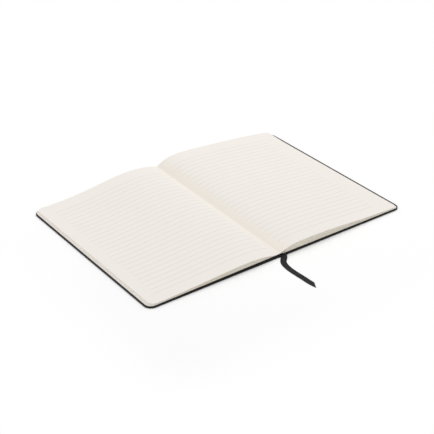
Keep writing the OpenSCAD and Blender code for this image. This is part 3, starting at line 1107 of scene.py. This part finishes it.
class NOTEBOOK_OT_camera(bpy.types.Operator):
    """Sets up the camera"""
    bl_idname = "notebook.camera"
    bl_label = "Camera"

    def execute(self, context):
        studio = context.scene.notebook_studio
        data = bpy.data.cameras.new("studio_camera")
        data.sensor_width = 36.0
        data.lens = studio.lens
        data.clip_start = 0.01
        data.clip_end = 50.0
        camera = link_object("studio_camera", data)
        back = Vector((math.sin(studio.azimuth) * math.cos(studio.elevation),
                       -math.cos(studio.azimuth) * math.cos(studio.elevation),
                       math.sin(studio.elevation)))
        camera.location = Vector(studio.target) + back * studio.distance
        camera.rotation_mode = "QUATERNION"
        camera.rotation_quaternion = (-back).to_track_quat("-Z", "Y") @ Quaternion((0, 0, 1), studio.roll)
        context.scene.camera = camera
        return {"FINISHED"}


class NOTEBOOK_OT_ribbon(bpy.types.Operator):
    """Makes the ribbon marker"""
    bl_idname = "notebook.ribbon"
    bl_label = "Ribbon marker"

    def execute(self, context):
        made, line, run = build_ribbon(ribbon_material())
        settle(made, "spine", "ribbon_marker")
        return {"FINISHED"}


def make_half_leaves(kind, add_leaves, columns, arched):
    """Makes one piece of leaves for each half. Arched leaves get a mesh of their own."""
    for side in (LEFT, RIGHT):
        name = SIDE_NAMES[side]
        builder = MeshBuilder()
        add_leaves(builder, side, PAGE_INNER, PAGE_REACH[side], columns)
        made = builder.build(f"{name}_{kind}", page_materials(side))
        settle(made, HALVES[side], f"{name}_pages")
        if arched:
            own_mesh(made)


class NOTEBOOK_OT_leaf_stacks(bpy.types.Operator):
    """Makes the leaves of both halves that lie flat on the covers"""
    bl_idname = "notebook.leaf_stacks"
    bl_label = "Flat leaves"

    def execute(self, context):
        make_half_leaves("flat_leaves", add_flat_stack, columns=9, arched=False)
        return {"FINISHED"}


class NOTEBOOK_OT_leaf_fans(bpy.types.Operator):
    """Makes the leaves of both halves that fan out under the open pages"""
    bl_idname = "notebook.leaf_fans"
    bl_label = "Fanned leaves"

    def execute(self, context):
        make_half_leaves("fanned_leaves", add_fan, columns=30, arched=True)
        return {"FINISHED"}


class NOTEBOOK_OT_open_pages(bpy.types.Operator):
    """Makes the two ruled pages that lie open"""
    bl_idname = "notebook.open_pages"
    bl_label = "Open pages"

    def execute(self, context):
        make_half_leaves("open_page", add_open_page, columns=60, arched=True)
        return {"FINISHED"}


class NOTEBOOK_OT_gutter(bpy.types.Operator):
    """Makes the inner ends of the leaves, between the two halves"""
    bl_idname = "notebook.gutter"
    bl_label = "Gutter"

    def execute(self, context):
        shift = context.scene.notebook_leaves.gutter_shift
        stretches = {
            LEFT: [(LEFT, shift, PAGE_INNER), (RIGHT, -shift, 0.0)],
            RIGHT: [(RIGHT, 0.0, PAGE_INNER)],
        }
        for side in (LEFT, RIGHT):
            builder = MeshBuilder()
            add_flat_stack(builder, side, 0.0, PAGE_INNER, columns=2)
            for half, inner, reach in stretches[side]:
                add_fan(builder, half, inner, reach, columns=7)
                add_open_page(builder, half, inner, reach, columns=10)
            made = builder.build(f"{SIDE_NAMES[side]}_gutter", page_materials(side))
            settle(made, "spine", "page_block_back")
            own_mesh(made)
        return {"FINISHED"}


class NOTEBOOK_OT_board_sheets(bpy.types.Operator):
    """Makes the leatherette of both boards"""
    bl_idname = "notebook.board_sheets"
    bl_label = "Board covering"

    def execute(self, context):
        material = shared_material("pebbled_leatherette", leatherette_material)
        for side, node in COVER_NODES.items():
            made = build_board_sheet(f"{node}_sheet", side, material)
            settle(made, HALVES[side], node)
        return {"FINISHED"}


class NOTEBOOK_OT_spine_sheets(bpy.types.Operator):
    """Makes the leatherette of the spine and of the two joints"""
    bl_idname = "notebook.spine_sheets"
    bl_label = "Spine and joint covering"

    def execute(self, context):
        material = shared_material("pebbled_leatherette", leatherette_material)
        spine_end = HINGE_X - 1.4 * MM
        spine = build_joint_sheet("spine_sheet", np.linspace(-spine_end, spine_end, 7), material)
        settle(spine, "spine", "spine_cover")
        on_board = BOARD_INNER + 0.2 * MM
        reach = np.concatenate([
            np.linspace(spine_end, HINGE_X, 5)[:-1],
            np.linspace(HINGE_X, on_board, 15)[:-1],
            np.linspace(on_board, context.scene.notebook_cover.joint_end, 6),
        ])
        for side, node in COVER_NODES.items():
            made = build_joint_sheet(f"{SIDE_NAMES[side]}_joint_sheet", np.sort(side * reach), material)
            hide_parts(node)
            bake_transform(made)
        return {"FINISHED"}


class NOTEBOOK_OT_inner_parts(bpy.types.Operator):
    """Gives the boards, the endpapers and the spine lining their finishes"""
    bl_idname = "notebook.inner_parts"
    bl_label = "Boards, endpapers and lining"

    def execute(self, context):
        cover = context.scene.notebook_cover
        finishes = [
            (pulp_material("greyboard", cover.board, fleck=0.5, roughness=0.9),
             ["front_board", "back_board", "spine_board"]),
            (pulp_material("endpaper", cover.endpaper, fleck=0.08, roughness=0.8),
             ["front_endpaper", "back_endpaper"]),
            (gauze_material(), ["spine_lining"]),
        ]
        for material, nodes in finishes:
            for node in nodes:
                mesh = frame["nodes"][node].data
                mesh.materials.clear()
                mesh.materials.append(material)
        return {"FINISHED"}


class NOTEBOOK_OT_studio(bpy.types.Operator):
    """Sets up the floor, the lamps and the background"""
    bl_idname = "notebook.studio"
    bl_label = "Studio"

    def execute(self, context):
        studio = context.scene.notebook_studio
        make_floor(studio.floor_size / 2)
        lamp = bpy.data.lights.new("overhead_softbox", "AREA")
        lamp.shape = "RECTANGLE"
        lamp.size, lamp.size_y = studio.softbox_size
        lamp.energy = studio.key_power
        softbox = link_object("overhead_softbox", lamp)
        softbox.location = studio.softbox_place
        softbox.rotation_mode = "QUATERNION"
        softbox.rotation_quaternion = (-softbox.location).to_track_quat("-Z", "Y")
        add_world_light(studio.fill_level)
        context.scene.view_settings.view_transform = "Standard"
        return {"FINISHED"}


OPERATORS = [
    NOTEBOOK_OT_camera,
    NOTEBOOK_OT_ribbon,
    NOTEBOOK_OT_leaf_stacks,
    NOTEBOOK_OT_leaf_fans,
    NOTEBOOK_OT_open_pages,
    NOTEBOOK_OT_gutter,
    NOTEBOOK_OT_board_sheets,
    NOTEBOOK_OT_spine_sheets,
    NOTEBOOK_OT_inner_parts,
    NOTEBOOK_OT_studio,
]


class NOTEBOOK_PT_pieces(bpy.types.Panel):
    """Lists the notebook's pieces and their sizes"""
    bl_label = "Open notebook"
    bl_idname = "NOTEBOOK_PT_pieces"
    bl_space_type = "VIEW_3D"
    bl_region_type = "UI"
    bl_category = "Notebook"

    def draw(self, context):
        layout = self.layout
        for operator in OPERATORS:
            layout.operator(operator.bl_idname)
        for name, group in SETTINGS.items():
            box = layout.box()
            box.label(text=group.__doc__)
            for field in group.__annotations__:
                box.prop(getattr(context.scene, name), field)


def register():
    """Registers the settings, the operators and the panel."""
    for name, group in SETTINGS.items():
        bpy.utils.register_class(group)
        setattr(bpy.types.Scene, name, bpy.props.PointerProperty(type=group))
    for operator in OPERATORS:
        bpy.utils.register_class(operator)
    bpy.utils.register_class(NOTEBOOK_PT_pieces)


def unregister():
    """Takes back what register() added."""
    bpy.utils.unregister_class(NOTEBOOK_PT_pieces)
    for operator in reversed(OPERATORS):
        bpy.utils.unregister_class(operator)
    for name, group in reversed(list(SETTINGS.items())):
        delattr(bpy.types.Scene, name)
        bpy.utils.unregister_class(group)


def main():
    """Makes every piece in order."""
    register()
    for operator in OPERATORS:
        group, name = operator.bl_idname.split(".")
        if getattr(getattr(bpy.ops, group), name)() != {"FINISHED"}:
            raise RuntimeError(f"{operator.bl_label} did not finish")


if __name__ == "__main__":
    main()
